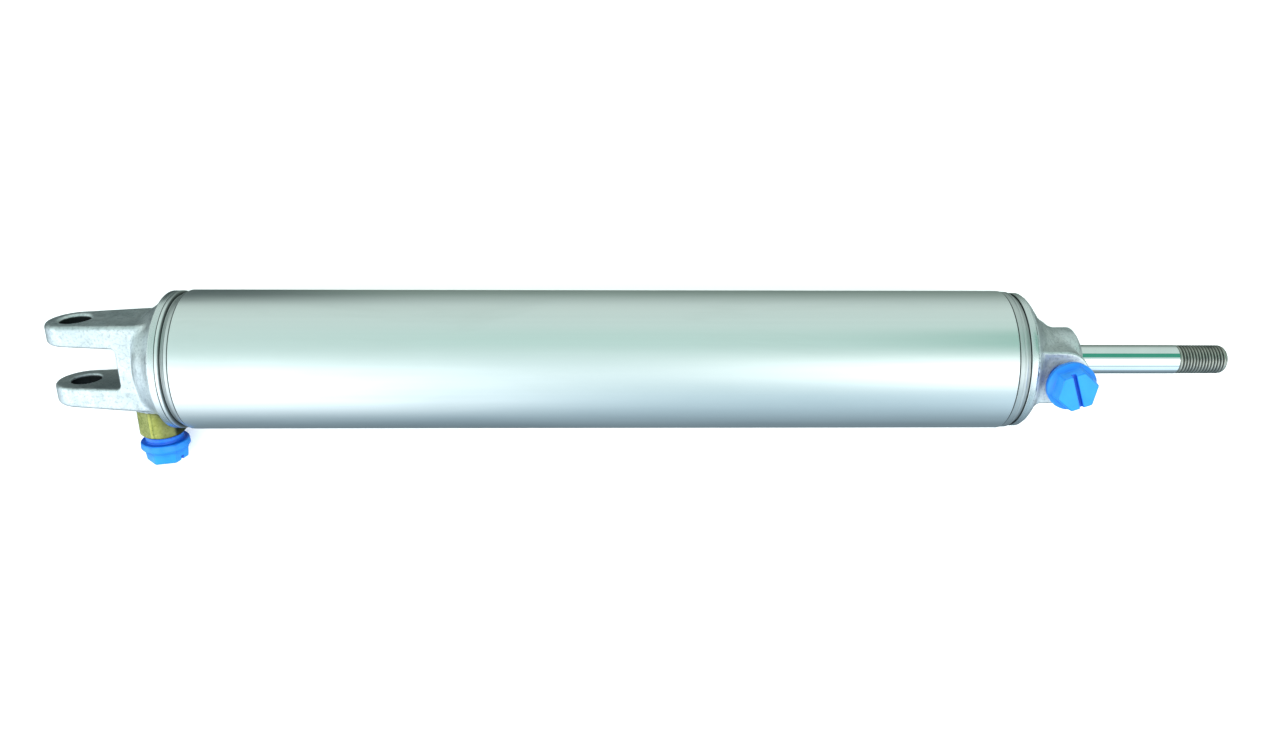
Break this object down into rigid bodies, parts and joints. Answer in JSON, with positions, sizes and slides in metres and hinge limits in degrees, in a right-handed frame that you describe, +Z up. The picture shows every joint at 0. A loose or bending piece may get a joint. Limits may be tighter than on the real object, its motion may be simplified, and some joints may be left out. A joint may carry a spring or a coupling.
{
  "type": "pneumatic cylinder",
  "caption": "Double-acting pneumatic cylinder with a round crimped tube, cast end caps, rear clevis, plugged side ports and a sliding rod with a male thread.",
  "frame": {"origin": "on the surface that it lies on, under the middle of its box", "axes": "+X along the cylinder from the clevis to the rod, +Z up, as it lies on its tube and on the rear plug"},
  "size_m": [0.5674, 0.0836, 0.0765],
  "materials": {
    "drawn_aluminium": "satin, drawn lengthwise",
    "cast_aluminium": "fine cast grain, tumbled edges",
    "machined_aluminium": "turned",
    "brass": "machined, slightly dull",
    "blue_plastic": "moulded, semi-gloss",
    "chromed_steel": "hard chrome, with a zinc-grey rolled thread",
    "zinc_steel": "zinc plated",
    "sintered_bronze": "sintered, matt",
    "black_rubber": "matt",
    "polyurethane": "smooth, matt",
    "guide_plastic": "matt"
  },
  "bodies": {
    "barrel": {"barrel_tube": "drawn_aluminium", "rear_cap": "cast_aluminium", "front_cap": "cast_aluminium", "rear_cap_oring": "black_rubber", "front_cap_oring": "black_rubber", "rear_bumper": "black_rubber", "front_bumper": "black_rubber", "rear_port_adapter": "brass", "rear_adapter_seal": "black_rubber", "rear_port_plug": "blue_plastic", "rear_plug_seal": "black_rubber", "front_port_plug": "blue_plastic", "front_plug_seal": "black_rubber", "bushing_clip": "zinc_steel", "rod_bushing": "sintered_bronze", "seal_washer": "zinc_steel", "rod_seal": "polyurethane", "wiper_washer": "zinc_steel", "rod_wiper": "polyurethane"},
    "piston_rings": {"piston_seal_rear": "black_rubber", "piston_seal_front": "black_rubber", "piston_guide_ring": "guide_plastic"},
    "rod": {"piston_rod": "chromed_steel", "piston_rear_half": "machined_aluminium", "piston_front_half": "machined_aluminium", "piston_oring": "black_rubber", "piston_washer": "zinc_steel", "piston_nut": "zinc_steel"}
  },
  "joints": [
    {"name": "rod_slide", "type": "slide", "parent": "barrel", "child": "piston_rings", "axis": [1, 0, 0], "range_m": [-0.02, 0.3]},
    {"name": "rod_turn", "type": "hinge", "parent": "piston_rings", "child": "rod", "pos_m": [-0.16315, 0.00843, 0.03337], "axis": [1, 0, 0], "continuous": true}
  ]
}
